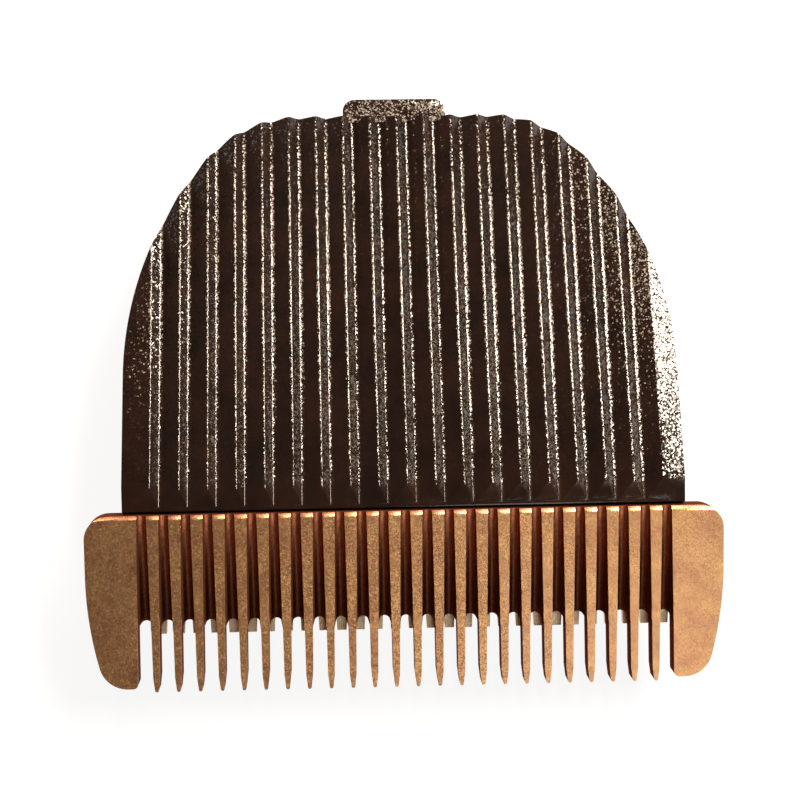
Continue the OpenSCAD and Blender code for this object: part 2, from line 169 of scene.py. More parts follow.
def prism(name: str, outline: list[Point2], low: float, high: float,
          place: Matrix | None = None) -> bpy.types.Object:
    """Makes a closed solid from an outline.

    Args:
        name: Name of the object.
        outline: The outline's corners in millimetres.
        low: Level of the bottom in millimetres.
        high: Level of the top in millimetres.
        place: Where the solid goes, as a matrix in metres.

    Returns:
        The solid's object, with its place in its mesh.
    """
    n = len(outline)
    points = [(x * MM, y * MM, z * MM) for z in (low, high) for x, y in outline]
    sides = [(k, (k + 1) % n, n + (k + 1) % n, n + k) for k in range(n)]
    mesh = bpy.data.meshes.new(name)
    mesh.from_pydata(points, [], [tuple(reversed(range(n))), tuple(range(n, 2 * n)), *sides])
    mesh.transform(place or Matrix.Identity(4))
    face_outwards(mesh)
    return place_object(name, mesh)


def block(name: str, low: Point3, high: Point3, place: Matrix | None = None) -> bpy.types.Object:
    """Makes a rectangular solid between two corners in millimetres."""
    outline = [(low[0], low[1]), (high[0], low[1]), (high[0], high[1]), (low[0], high[1])]
    return prism(name, outline, low[2], high[2], place)


def drum(name: str, centre: Point2, radius: float, low: float, high: float,
         place: Matrix | None = None) -> bpy.types.Object:
    """Makes a round solid that stands on its centre, in millimetres."""
    return prism(name, arc(centre, radius, 0, 352.5, 47), low, high, place)


def face_outwards(mesh: bpy.types.Mesh) -> None:
    """Merges the mesh's doubles and turns its faces outwards."""
    work = bmesh.new()
    work.from_mesh(mesh)
    bmesh.ops.remove_doubles(work, verts=work.verts, dist=2e-7)
    bmesh.ops.recalc_face_normals(work, faces=work.faces)
    work.to_mesh(mesh)
    work.free()


def mirror_solid(item: bpy.types.Object) -> bpy.types.Object:
    """Makes the solid's mirror image at X = 0 as a second object."""
    mesh = item.data.copy()
    mesh.transform(Matrix.Diagonal((-1, 1, 1, 1)))
    face_outwards(mesh)
    return place_object(item.name + "_mirrored", mesh)


def flatten_facets(mesh: bpy.types.Mesh, angle: float = 0.4) -> None:
    """Joins faces that lie in one plane, so that edges get even bevels.

    Args:
        mesh: The mesh to clean.
        angle: Largest angle in degrees between faces that count as one.
    """
    work = bmesh.new()
    work.from_mesh(mesh)
    bmesh.ops.remove_doubles(work, verts=work.verts, dist=1e-6)
    bmesh.ops.dissolve_degenerate(work, edges=work.edges, dist=1e-6)
    bmesh.ops.dissolve_limit(work, angle_limit=math.radians(angle), verts=work.verts, edges=work.edges)
    bmesh.ops.recalc_face_normals(work, faces=work.faces)
    work.to_mesh(mesh)
    work.free()


def settle(item: bpy.types.Object) -> None:
    """Makes the object's evaluated shape its own plain mesh and clears its modifiers."""
    bpy.context.view_layer.update()
    graph = bpy.context.evaluated_depsgraph_get()
    mesh = bpy.data.meshes.new_from_object(item.evaluated_get(graph))
    old = item.data
    item.modifiers.clear()
    item.data = mesh
    mesh.name = item.name
    bpy.data.meshes.remove(old)


def discard(*items: bpy.types.Object) -> None:
    """Removes tool solids that have done their work."""
    for item in items:
        mesh = item.data
        bpy.data.objects.remove(item)
        bpy.data.meshes.remove(mesh)


def combine(blank: bpy.types.Object, work: Work, *tools: bpy.types.Object) -> None:
    """Cuts tool solids from a blank, joins them to it or trims it to them, one after the other.

    Args:
        blank: The solid that is changed.
        work: What the tools do.
        *tools: The tool solids, which are removed afterwards.
    """
    for tool in tools:
        step = blank.modifiers.new(tool.name, "BOOLEAN")
        step.operation = work.value
        step.solver = "EXACT"
        step.object = tool
    settle(blank)
    discard(*tools)


def soften(item: bpy.types.Object, width: float, angle: float, steps: int = 2) -> None:
    """Rounds the sharp edges of a solid.

    Args:
        item: The solid.
        width: Width of the rounding in millimetres.
        angle: Smallest angle in degrees between two faces that is rounded.
        steps: Number of facets across the rounding.
    """
    edge = item.modifiers.new("edge", "BEVEL")
    edge.width = width * MM
    edge.segments = steps
    edge.limit_method = "ANGLE"
    edge.angle_limit = math.radians(angle)
    edge.use_clamp_overlap = True
    settle(item)


def smooth(item: bpy.types.Object, angle: float = 30.0, flat: bool = True) -> None:
    """Shades a mesh smooth.

    Args:
        item: The piece.
        angle: Edges sharper than this angle in degrees stay sharp.
        flat: Whether the big faces keep their own normal up to their edges, as ground ones do.
    """
    item.data.shade_smooth()
    item.data.set_sharp_from_angle(angle=math.radians(angle))
    if flat:
        weight = item.modifiers.new("weight", "WEIGHTED_NORMAL")
        weight.keep_sharp = True
        weight.weight = 80
        settle(item)


class NodeTool:
    """A Geometry Nodes tree with named inputs, which is run once on an object."""

    def __init__(self, name: str, sizes: dict[str, str]) -> None:
        """Opens a tree.

        Args:
            name: Name of the tree.
            sizes: For each named input the kind of its socket.
        """
        self.tree = bpy.data.node_groups.new(name, "GeometryNodeTree")
        self.tree.interface.new_socket(name="Geometry", in_out="INPUT", socket_type="NodeSocketGeometry")
        for label, kind in sizes.items():
            self.tree.interface.new_socket(name=label, in_out="INPUT", socket_type=kind)
        self.tree.interface.new_socket(name="Geometry", in_out="OUTPUT", socket_type="NodeSocketGeometry")
        self.given = add_node(self.tree, "NodeGroupInput").outputs

    def close(self, result: bpy.types.NodeSocket) -> None:
        """Ends the tree with Realize Instances and Set Material.

        Args:
            result: The socket that gives the finished shape.
        """
        real = add_node(self.tree, "GeometryNodeRealizeInstances", {"Geometry": result})
        dressed = add_node(self.tree, "GeometryNodeSetMaterial",
                           {"Geometry": real.outputs[0], "Material": self.given["Material"]})
        add_node(self.tree, "NodeGroupOutput", {"Geometry": dressed.outputs[0]})

    def row(self, thing: bpy.types.NodeSocket) -> bpy.types.NodeSocket:
        """Repeats an object along X by the inputs Count, Pitch and Start.

        Args:
            thing: The socket that names the object.

        Returns:
            The socket of the row, as real geometry.
        """
        step = add_node(self.tree, "ShaderNodeCombineXYZ", {"X": self.given["Pitch"]})
        first = add_node(self.tree, "ShaderNodeCombineXYZ", {"X": self.given["Start"]})
        places = add_node(self.tree, "GeometryNodeMeshLine",
                          {"Count": self.given["Count"], "Start Location": first.outputs[0],
                           "Offset": step.outputs[0]}, mode="OFFSET")
        shape = add_node(self.tree, "GeometryNodeObjectInfo", {"Object": thing})
        copies = add_node(self.tree, "GeometryNodeInstanceOnPoints",
                          {"Points": places.outputs[0], "Instance": shape.outputs["Geometry"]})
        return add_node(self.tree, "GeometryNodeRealizeInstances", {"Geometry": copies.outputs[0]}).outputs[0]

    def run(self, item: bpy.types.Object, **values: Any) -> None:
        """Runs the tree on an object and keeps the result as a plain mesh.

        Args:
            item: The object whose mesh is the tree's geometry.
            **values: A value for each named input, with underscores for spaces.
        """
        step = item.modifiers.new(self.tree.name, "NODES")
        step.node_group = self.tree
        for entry in self.tree.interface.items_tree:
            label = entry.name.replace(" ", "_").lower()
            if entry.in_out == "INPUT" and label in values:
                step[entry.identifier] = values[label]
        settle(item)


class OutlineTool(NodeTool):
    """Repeats one period of an outline along X, closes it with the frame line, and makes it a solid."""

    def __init__(self) -> None:
        """Builds the tree."""
        super().__init__("repeated_outline", {
            "Period": "NodeSocketObject", "Count": "NodeSocketInt", "Pitch": "NodeSocketFloat",
            "Start": "NodeSocketFloat", "Depth": "NodeSocketFloat", "Material": "NodeSocketMaterial"})
        row = self.row(self.given["Period"])
        both = add_node(self.tree, "GeometryNodeJoinGeometry", {"Geometry": [row, self.given["Geometry"]]})
        loop = add_node(self.tree, "GeometryNodeMergeByDistance",
                        {"Geometry": both.outputs[0], "Distance": 2e-6})
        curve = add_node(self.tree, "GeometryNodeMeshToCurve", {"Mesh": loop.outputs[0]})
        plan = add_node(self.tree, "GeometryNodeFillCurve", {"Curve": curve.outputs[0]}, mode="NGONS")
        lift = add_node(self.tree, "GeometryNodeExtrudeMesh",
                        {"Mesh": plan.outputs[0], "Offset": (0.0, 0.0, 1.0),
                         "Offset Scale": self.given["Depth"], "Individual": False})
        under = add_node(self.tree, "GeometryNodeFlipFaces", {"Mesh": plan.outputs[0]})
        solid = add_node(self.tree, "GeometryNodeJoinGeometry", {"Geometry": [lift.outputs[0], under.outputs[0]]})
        closed = add_node(self.tree, "GeometryNodeMergeByDistance",
                          {"Geometry": solid.outputs[0], "Distance": 2e-6})
        self.close(closed.outputs[0])


class RowTool(NodeTool):
    """Repeats a tool solid along X and cuts the row from a blank, or joins it."""

    def __init__(self, work: Work) -> None:
        """Builds the tree.

        Args:
            work: What the row does to the blank.
        """
        super().__init__(f"row_{work.name.lower()}", {
            "Tool": "NodeSocketObject", "Count": "NodeSocketInt", "Pitch": "NodeSocketFloat",
            "Start": "NodeSocketFloat", "Material": "NodeSocketMaterial"})
        row = self.row(self.given["Tool"])
        inputs = {"Mesh 1": self.given["Geometry"], "Mesh 2": row}
        if work is Work.JOIN:
            inputs = {"Mesh 2": [self.given["Geometry"], row]}
        made = add_node(self.tree, "GeometryNodeMeshBoolean", inputs, operation=work.value, solver="EXACT")
        self.close(made.outputs[0])


class WireTool(NodeTool):
    """Draws round wire along a route of edges."""

    def __init__(self) -> None:
        """Builds the tree."""
        super().__init__("drawn_wire", {"Radius": "NodeSocketFloat", "Facets": "NodeSocketInt",
                                        "Material": "NodeSocketMaterial"})
        route = add_node(self.tree, "GeometryNodeMeshToCurve", {"Mesh": self.given["Geometry"]})
        section = add_node(self.tree, "GeometryNodeCurvePrimitiveCircle",
                           {"Resolution": self.given["Facets"], "Radius": self.given["Radius"]})
        wire = add_node(self.tree, "GeometryNodeCurveToMesh",
                        {"Curve": route.outputs[0], "Profile Curve": section.outputs[0], "Fill Caps": True})
        self.close(wire.outputs[0])


@dataclass(frozen=True)
class Finish(ABC):
    """How a surface was made; each kind draws its own material."""

    name: str

    @abstractmethod
    def draw(self, tree: bpy.types.NodeTree, surface: bpy.types.Node) -> None:
        """Adds the finish's nodes to a material.

        Args:
            tree: The material's node tree.
            surface: Its Principled node.
        """

    def material(self) -> bpy.types.Material:
        """Makes the material.

        Returns:
            The material, with its nodes.
        """
        made = bpy.data.materials.new(self.name)
        made.use_nodes = True
        made.node_tree.nodes.clear()
        surface = add_node(made.node_tree, "ShaderNodeBsdfPrincipled")
        add_node(made.node_tree, "ShaderNodeOutputMaterial", {"Surface": surface.outputs[0]})
        self.draw(made.node_tree, surface)
        return made

    @staticmethod
    def place(tree: bpy.types.NodeTree, turn: float = 0.0, stretch: Point3 = (1.0, 1.0, 1.0)) -> bpy.types.NodeSocket:
        """Gives a pattern's place on the piece.

        Args:
            tree: The material's node tree.
            turn: Turn of the pattern about Z in degrees.
            stretch: Scale of the pattern along each axis.

        Returns:
            The socket of the place.
        """
        here = add_node(tree, "ShaderNodeTexCoord").outputs["Object"]
        return add_node(tree, "ShaderNodeMapping",
                        {"Vector": here, "Rotation": (0.0, 0.0, math.radians(turn)), "Scale": stretch}).outputs[0]

    @staticmethod
    def grain(tree: bpy.types.NodeTree, where: bpy.types.NodeSocket, size: float, detail: float = 2.0,
              low: float = 0.0, high: float = 1.0) -> bpy.types.NodeSocket:
        """Adds a noise of real size.

        Args:
            tree: The material's node tree.
            where: The pattern's place.
            size: Size of a feature in millimetres.
            detail: Number of finer layers.
            low: Value that the noise starts from.
            high: Value that the noise ends at.

        Returns:
            The socket of the noise's value.
        """
        noise = add_node(tree, "ShaderNodeTexNoise",
                         {"Vector": where, "Scale": per_mm(size), "Detail": detail, "Roughness": 0.6})
        spread = add_node(tree, "ShaderNodeMapRange",
                          {"Value": noise.outputs[0], "From Min": 0.3, "From Max": 0.7,
                           "To Min": low, "To Max": high})
        return spread.outputs[0]

    @staticmethod
    def blend(tree: bpy.types.NodeTree, share: bpy.types.NodeSocket, first: Any, second: Any) -> bpy.types.NodeSocket:
        """Mixes two colours by a share.

        Args:
            tree: The material's node tree.
            share: The share of the second colour.
            first: The first colour, or its socket.
            second: The second colour, or its socket.

        Returns:
            The socket of the mixed colour.
        """
        return add_node(tree, "ShaderNodeMix", {0: share, 6: first, 7: second}, data_type="RGBA").outputs[2]

    @staticmethod
    def facets(tree: bpy.types.NodeTree, where: bpy.types.NodeSocket, size: float,
               tilt: float | bpy.types.NodeSocket) -> bpy.types.NodeSocket:
        """Breaks the surface up into tiny facets that each lean their own way.

        Args:
            tree: The material's node tree.
            where: The pattern's place.
            size: Size of a facet in millimetres.
            tilt: Spread of the facets' slopes.

        Returns:
            The socket of the normal.
        """
        cells = add_node(tree, "ShaderNodeTexVoronoi", {"Vector": where, "Scale": per_mm(size)})
        lean = add_node(tree, "ShaderNodeVectorMath", {0: cells.outputs["Color"], 1: (0.5, 0.5, 0.5)},
                        operation="SUBTRACT")
        lean = add_node(tree, "ShaderNodeVectorMath", {0: lean.outputs[0], "Scale": tilt}, operation="SCALE")
        flat = add_node(tree, "ShaderNodeNewGeometry").outputs["Normal"]
        both = add_node(tree, "ShaderNodeVectorMath", {0: flat, 1: lean.outputs[0]}, operation="ADD")
        return add_node(tree, "ShaderNodeVectorMath", {0: both.outputs[0]}, operation="NORMALIZE").outputs[0]

    @staticmethod
    def relief(tree: bpy.types.NodeTree, height: bpy.types.NodeSocket, depth: float, strength: float = 1.0,
               under: bpy.types.NodeSocket | None = None) -> bpy.types.NodeSocket:
        """Adds a bump.

        Args:
            tree: The material's node tree.
            height: The socket of the height.
            depth: Depth of the bump in millimetres.
            strength: Strength of the bump.
            under: A bump that this one lies on.

        Returns:
            The socket of the normal.
        """
        inputs: dict[str, Any] = {"Height": height, "Distance": depth * MM, "Strength": strength}
        if under is not None:
            inputs["Normal"] = under
        return add_node(tree, "ShaderNodeBump", inputs).outputs[0]


@dataclass(frozen=True)
class SparkErodedPlastic(Finish):
    """Dark ABS moulded against a spark-eroded tool: glossy, with a fine crystalline grain that glints."""

    dark: str = "#0C0604"
    brown: str = "#190D08"
    grain_size: float = 0.1
    grain_tilt: float = 0.3
    smooth_y: float = 0.0

    def draw(self, tree: bpy.types.NodeTree, surface: bpy.types.Node) -> None:
        """Adds brown clouding, the eroded grain and an uneven gloss."""
        where = self.place(tree)
        cloud = self.grain(tree, where, 3.0, 3.0)
        surface.inputs["IOR"].default_value = 1.5
        tree.links.new(self.blend(tree, cloud, srgb(self.dark), srgb(self.brown)), surface.inputs["Base Color"])
        tree.links.new(self.grain(tree, where, 0.6, 3.0, 0.13, 0.18), surface.inputs["Roughness"])
        y = add_node(tree, "ShaderNodeSeparateXYZ", {0: where}).outputs["Y"]
        tilt = add_node(tree, "ShaderNodeMapRange",
                        {"Value": y, "From Min": (self.smooth_y - 0.5) * MM, "From Max": self.smooth_y * MM,
                         "To Min": 0.03, "To Max": self.grain_tilt})
        facets = self.facets(tree, where, self.grain_size, tilt.outputs[0])
        tree.links.new(self.relief(tree, self.grain(tree, where, 0.8, 2.0), 0.005, 1.0, facets),
                       surface.inputs["Normal"])


@dataclass(frozen=True)
class HardCoatedSteel(Finish):
    """Ground steel with a copper-gold hard coating: satin faces with fine grit marks, and painted shade that darkens
    the ground grooves.
    """

    face_normal: Point3 = (0.0, 0.0, 1.0)
    face_level: float = 0.0
    gold: str = "#CFA070"
    rose: str = "#B5825F"
    # The groove colour is painted shade: it darkens the ground grooves below the faces.
    groove: str = "#6E4433"

    def draw(self, tree: bpy.types.NodeTree, surface: bpy.types.Node) -> None:
        """Adds tinted patches, grit marks, streaks along the grooves with painted shade in them, and the coating's
        gloss.
        """
        where = self.place(tree)
        patches = self.grain(tree, where, 1.6, 3.0)
        face = self.blend(tree, patches, srgb(self.rose), srgb(self.gold))
        face = self.blend(tree, self.grain(tree, where, 0.12, 1.0, 0.0, 0.12), face, srgb("#7A523C"))
        height = add_node(tree, "ShaderNodeVectorMath", {0: where, 1: self.face_normal}, operation="DOT_PRODUCT")
        # Mask of the ground grooves below the face: it paints shade into their colour and reflection, and sets their
        # coat and roughness.
        groove_shade_and_gloss = add_node(tree, "ShaderNodeMapRange",
                         {"Value": height.outputs["Value"], "From Min": (self.face_level - 0.16) * MM,
                          "From Max": (self.face_level - 0.05) * MM, "To Min": 1.0, "To Max": 0.0})
        streaks = self.grain(tree, self.place(tree, 0.0, (1.0, 0.04, 1.0)), 0.12, 2.0)
        # Painted shade: the grooves get darker browns, streaked along the grind.
        groove = self.blend(tree, streaks, srgb(self.groove), srgb("#8C5640"))
        tree.links.new(self.blend(tree, groove_shade_and_gloss.outputs[0], face, groove), surface.inputs["Base Color"])
        # Painted shade: a dark specular tint dims the grooves' reflection.
        tree.links.new(self.blend(tree, groove_shade_and_gloss.outputs[0], srgb("#FFFFFF"), srgb("#7A5A4A")),
                       surface.inputs["Specular Tint"])
        surface.inputs["Metallic"].default_value = 1.0
        surface.inputs["Coat Roughness"].default_value = 0.16
        coat = add_node(tree, "ShaderNodeMix", {0: groove_shade_and_gloss.outputs[0], 2: 0.3, 3: 0.0}, data_type="FLOAT")
        tree.links.new(coat.outputs[0], surface.inputs["Coat Weight"])
        satin = self.grain(tree, where, 0.5, 2.0, 0.31, 0.34)
        rough = add_node(tree, "ShaderNodeMix", {0: groove_shade_and_gloss.outputs[0], 2: satin, 3: 0.5}, data_type="FLOAT")
        tree.links.new(rough.outputs[0], surface.inputs["Roughness"])
        grit = self.facets(tree, where, 0.09, 0.12)
        marks = self.grain(tree, self.place(tree, 48.0, (1.0, 0.08, 1.0)), 0.1, 1.0)
        tree.links.new(self.relief(tree, marks, 0.0016, 1.0, grit), surface.inputs["Normal"])


@dataclass(frozen=True)
class BareMetal(Finish):
    """Bare or plated metal with the marks of its last tool along one way."""

    light: str = "#C9C4BC"
    dark: str = "#A8A198"
    low_roughness: float = 0.22
    high_roughness: float = 0.34
    mark_size: float = 0.08
    mark_turn: float = 0.0
    mark_stretch: Point3 = (1.0, 0.06, 1.0)
    mark_depth: float = 0.003

    def draw(self, tree: bpy.types.NodeTree, surface: bpy.types.Node) -> None:
        """Adds the metal's tone, its gloss and its tool marks."""
        where = self.place(tree)
        marks = self.grain(tree, self.place(tree, self.mark_turn, self.mark_stretch), self.mark_size, 2.0)
        surface.inputs["Metallic"].default_value = 1.0
        tree.links.new(self.blend(tree, self.grain(tree, where, 1.2, 3.0), srgb(self.dark), srgb(self.light)),
                       surface.inputs["Base Color"])
        tree.links.new(self.grain(tree, where, 0.4, 3.0, self.low_roughness, self.high_roughness),
                       surface.inputs["Roughness"])
        tree.links.new(self.relief(tree, marks, self.mark_depth), surface.inputs["Normal"])


@dataclass(frozen=True)
class MouldedAcetal(Finish):
    """Off-white acetal, moulded: waxy and satin, with faint flow clouds."""

    light: str = "#DEDBD0"
    shade: str = "#CFCBBF"

    def draw(self, tree: bpy.types.NodeTree, surface: bpy.types.Node) -> None:
        """Adds faint clouds, a satin gloss and a slight unevenness."""
        where = self.place(tree)
        surface.inputs["IOR"].default_value = 1.48
        tree.links.new(self.blend(tree, self.grain(tree, where, 2.5, 3.0), srgb(self.shade), srgb(self.light)),
                       surface.inputs["Base Color"])
        tree.links.new(self.grain(tree, where, 0.8, 3.0, 0.36, 0.5), surface.inputs["Roughness"])
        tree.links.new(self.relief(tree, self.grain(tree, where, 0.14, 2.0), 0.006), surface.inputs["Normal"])


@dataclass(frozen=True)
class Datum:
    """The ridge line, and the cover face and blade face that meet at it."""

    ridge_h: float = 9.5
    cover_tilt: float = 9.0
    blade_tilt: float = 13.0
    cover_l: float = 29.2
    hook_reach: float = 1.4
    hook_drop: float = 0.35
    blade_reach: float = 12.8
    blade_w: float = 44.2

    @property
    def ridge_y(self) -> float:
        """Place of the ridge, where the part's box is centred on the origin."""
        tilt = math.radians(self.cover_tilt)
        hook_end = (self.cover_l + self.hook_reach) * math.cos(tilt) - self.hook_drop * math.sin(tilt)
        return (self.blade_reach * math.cos(math.radians(self.blade_tilt)) - hook_end) / 2

    @property
    def ridge(self) -> Vector:
        """Middle of the ridge line in metres."""
        return Vector((0.0, self.ridge_y * MM, self.ridge_h * MM))

    @property
    def cover(self) -> Matrix:
        """Place of what is drawn on the cover face: Y from the ridge to the hook, Z outwards."""
        return Matrix.Translation(self.ridge) @ Matrix.Rotation(math.radians(-self.cover_tilt), 4, "X")

    @property
    def blade(self) -> Matrix:
        """Place of what is drawn on the blade face: Y from the tips to the ridge, Z outwards."""
        return Matrix.Translation(self.ridge) @ Matrix.Rotation(math.radians(self.blade_tilt), 4, "X")

    @property
    def body_d(self) -> float:
        """Depth of the moulding square to the cover face."""
        return self.ridge_h + self.cover_l * math.sin(math.radians(self.cover_tilt))


@dataclass
class Piece(ABC):
    """A piece of the set: it builds its mesh, gets its finish, and rides on its CAD body."""

    datum: Datum
    finish: Finish

    name: str = field(init=False, default="piece")
    nodes: tuple[str, ...] = field(init=False, default=())
    body: Body = field(init=False, default=Body.HOUSING)
    slot: Slot = field(init=False, default=Slot.HOUSING_PLASTIC)

    @abstractmethod
    def build(self) -> bpy.types.Object:
        """Makes the piece's mesh object at the origin.

        Returns:
            The object.
        """

    def fit(self) -> bpy.types.Object:
        """Builds and dresses the piece and ties it to the frame.

        Returns:
            The finished object.
        """
        item = self.build()
        material = bpy.data.materials.get(self.finish.name) or self.finish.material()
        item.data.materials.clear()
        item.data.materials.append(material)
        item.name = self.name
        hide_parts(*self.nodes)
        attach(item, self.body.value)
        log.info("%s: %d faces, rides on %s", self.name, len(item.data.polygons), self.body.value)
        return item


@dataclass
class HousingMoulding(Piece):
    """Moulded housing: ribbed cover plate, skirt wall, hook, corner blocks, front beam and spring posts."""

    overhang: float = 2.6
    side_l: float = 9.6
    shoulder_r: float = 26.0
    corner_r: float = 8.6
    wall_t: float = 1.4
    plate_t: float = 1.2
    lip_l: float = 0.4
    rib_n: int = 18
    rib_shift: float = 0.17
    land_w: float = 1.74
    rib_h: float = 0.6
    steep_share: float = 0.37
    crest_r: float = 0.28
    valley_r: float = 0.4
    ramp_l: float = 1.6
    hook_w: float = 7.5
    hook_t: float = 1.7
    hook_corner_r: float = 0.9
    blade_t: float = 1.8
    rear_edge: float = 0.45
    screw_x: float = 17.05
    screw_reach: float = 2.1
    coil_h: float = 3.6
    coil_back: float = 8.0
    edge_w: float = 0.07

    def __post_init__(self) -> None:
        """Names the piece and what it stands for."""
        self.name = "housing_moulding"
        self.nodes = ("blade_housing",)

    @property
    def width(self) -> float:
        """Width of the cover."""
        return self.datum.blade_w - 2 * self.overhang

    def outline(self, inset: float, front: float) -> list[Point2]:
        """Gives the outline of the cover.

        Args:
            inset: How far the outline is moved in.
            front: Level of its front edge.

        Returns:
            The outline's corners.
        """
        turn = math.asin((self.datum.cover_l - self.side_l - self.corner_r) / (self.shoulder_r - self.corner_r))
        big = (self.width / 2 - self.shoulder_r, self.side_l)
        small = (big[0] + (self.shoulder_r - self.corner_r) * math.cos(turn),
                 big[1] + (self.shoulder_r - self.corner_r) * math.sin(turn))
        right = [(self.width / 2 - inset, front)]
        right += arc(big, self.shoulder_r - inset, 0, math.degrees(turn), 30)
        right += arc(small, self.corner_r - inset, math.degrees(turn), 90, 30)[1:]
        return right + mirrored(right)

    def rib_line(self, pitch: float) -> tuple[list[Point2], list[Point2], list[Point2]]:
        """Gives the line of the ribs in three parts, which meet at the bottoms of the valleys.

        Args:
            pitch: Distance from crest to crest.

        Returns:
            The first crest down to its valley, one whole rib, and the last valley up to the last crest.
        """
        steep = pitch * self.steep_share
        fall, rise = -math.atan2(self.rib_h, steep), math.atan2(self.rib_h, pitch - steep)

        def normal(angle: float) -> Vector:
            """Gives the normal of a slope."""
            return Vector((-math.sin(angle), math.cos(angle)))

        def fillet(meet: Point2, slopes: Point2, radius: float, side: int, start: float, end: float) -> list[Point2]:
            """Gives the points of the round between two slopes, between two of its tangents."""
            n0, n1 = normal(slopes[0]), normal(slopes[1])
            centre = Vector(meet) + (n0 + n1) * (side * radius / (1 + n0.dot(n1)))
            angles = [start + (end - start) * k / 12 for k in range(13)]
            return [tuple(centre - normal(a) * (side * radius)) for a in angles]

        low = (steep, -self.rib_h)
        into = fillet(low, (fall, rise), self.valley_r, 1, fall, 0.0)
        out = fillet((low[0] - pitch, low[1]), (fall, rise), self.valley_r, 1, 0.0, rise)
        crest = fillet((0.0, 0.0), (rise, fall), self.crest_r, -1, rise, fall)
        first = fillet((0.0, 0.0), (0.0, fall), self.crest_r, -1, 0.0, fall)
        last = fillet((0.0, 0.0), (rise, 0.0), self.crest_r, -1, rise, 0.0)
        return first + into, out + crest + into, out + last

    def ribbed_slab(self) -> bpy.types.Object:
        """Makes the ribbed slab from one rib that is repeated across the cover.

        Returns:
            The slab, on the cover face.
        """
        ribbed = self.width - 2 * self.land_w
        pitch = ribbed / self.rib_n
        first, whole, last = self.rib_line(pitch)
        start, end = (side * ribbed / 2 + self.rib_shift for side in (-1, 1))
        deep = self.datum.body_d * 2
        rib = line_object("rib", whole)
        slab = line_object("housing", [(end + x, y) for x, y in last]
                           + [(self.width, 0.0), (self.width, -deep), (-self.width, -deep), (-self.width, 0.0)]
                           + [(start + x, y) for x, y in first])
        long = self.datum.cover_l + 2
        OutlineTool().run(slab, period=rib, count=self.rib_n - 1, pitch=pitch * MM,
                          start=(start + pitch) * MM, depth=long * MM)
        discard(rib)
        slab.data.transform(self.datum.cover @ Matrix.Translation((0, (self.datum.cover_l + 1) * MM, 0))
                            @ Matrix.Rotation(math.radians(90), 4, "X"))
        face_outwards(slab.data)
        return slab

    def ramp(self) -> bpy.types.Object:
        """Makes the solid that leaves of the ribs what lies under the slope down to the ridge."""
        d, far = self.datum.body_d, self.datum.cover_l * 2
        side = [(-self.ramp_l, -d * 3), (-self.ramp_l, -self.rib_h * 2), (self.ramp_l * 2, self.rib_h),
                (far, self.rib_h), (far, -d * 3)]
        turn = Matrix(((0, 0, 1, 0), (1, 0, 0, 0), (0, 1, 0, 0), (0, 0, 0, 1)))
        return prism("ramp", side, -self.width, self.width, self.datum.cover @ turn)

    def hook(self) -> bpy.types.Object:
        """Makes the hook at the round end."""
        d, r = self.datum, self.hook_corner_r
        right = [(self.hook_w / 2, d.cover_l - 0.4)]
        right += arc((self.hook_w / 2 - r, d.cover_l + d.hook_reach - r), r, 0, 90, 8)
        return prism("hook", right + mirrored(right), -d.hook_drop - self.hook_t, -d.hook_drop, d.cover)

    def corner_block(self) -> bpy.types.Object:
        """Makes the block under a front corner, which carries a blade screw."""
        inner, outer, front = self.screw_x - 2.5, self.width / 2, self.screw_reach + 2.1
        plan = [(inner, 2.2)]
        plan += arc((inner + 1, -front + 1), 1, 180, 270, 8)
        plan += arc((outer - 1, -front + 1), 1, 270, 360, 8)
        plan += [(outer, -self.rear_edge), (outer - self.wall_t, -self.rear_edge), (outer - self.wall_t, 2.2)]
        return prism("corner_block", plan, -self.datum.body_d, -self.blade_t, self.datum.blade)

    def spring_post(self) -> bpy.types.Object:
        """Makes the lug and post for one coil of the spring, cut to the inside of the cover."""
        d = self.datum
        y = d.ridge_y + self.coil_back
        post = block("post", (13.65, y - 2.2, 0.0), (14.85, y + 2.2, d.ridge_h - 2.2))
        across = Matrix.Translation((10.5 * MM, y * MM, self.coil_h * MM)) @ Matrix.Rotation(math.radians(90), 4, "Y")
        combine(post, Work.JOIN, drum("peg", (0, 0), 1.0, 0.0, 3.9, across))
        inside = prism("inside", self.outline(self.wall_t / 2, 0.0), -d.body_d * 2, -self.rib_h - self.plate_t / 2, d.cover)
        combine(post, Work.TRIM, inside)
        return post

    def screw_ways(self) -> list[bpy.types.Object]:
        """Makes the tools that bore a corner block for its screw."""
        at = (self.screw_x, -self.screw_reach)
        seat = -self.blade_t - 2.2
        return [drum("shank_way", at, 0.9, seat - 1, -self.blade_t + 1, self.datum.blade),
                drum("head_way", at, 1.65, -self.datum.body_d * 2, seat, self.datum.blade)]

    def build(self) -> bpy.types.Object:
        """Makes the moulding from the ribbed slab and rounds its edges."""
        d = self.datum
        item = self.ribbed_slab()
        combine(item, Work.TRIM, self.ramp(), prism("plan", self.outline(0, 0), -d.body_d * 1.9, 1.0, d.cover))
        combine(item, Work.JOIN, self.hook())
        combine(item, Work.CUT,
                prism("hollow", self.outline(self.wall_t, -1.0), -d.body_d * 3, -self.rib_h - self.plate_t, d.cover),
                block("seat", (-d.blade_w / 2, -d.blade_reach, -self.blade_t),
                      (d.blade_w / 2, -self.lip_l, d.ridge_h), d.blade))
        corner, post = self.corner_block(), self.spring_post()
        beam = block("beam", (-(self.width - self.wall_t) / 2, -self.lip_l, -3.5),
                     ((self.width - self.wall_t) / 2, 1.6, -1.5), d.blade)
        combine(item, Work.JOIN, post, mirror_solid(post), beam, corner, mirror_solid(corner))
        ways = self.screw_ways()
        combine(item, Work.CUT, *ways, *[mirror_solid(way) for way in ways],
                block("floor_cut", (-d.blade_w, -d.blade_w, -d.body_d * 3), (d.blade_w, d.blade_w, 0.0)))
        flatten_facets(item.data)
        soften(item, self.edge_w, 50.0)
        smooth(item, flat=False)
        return item


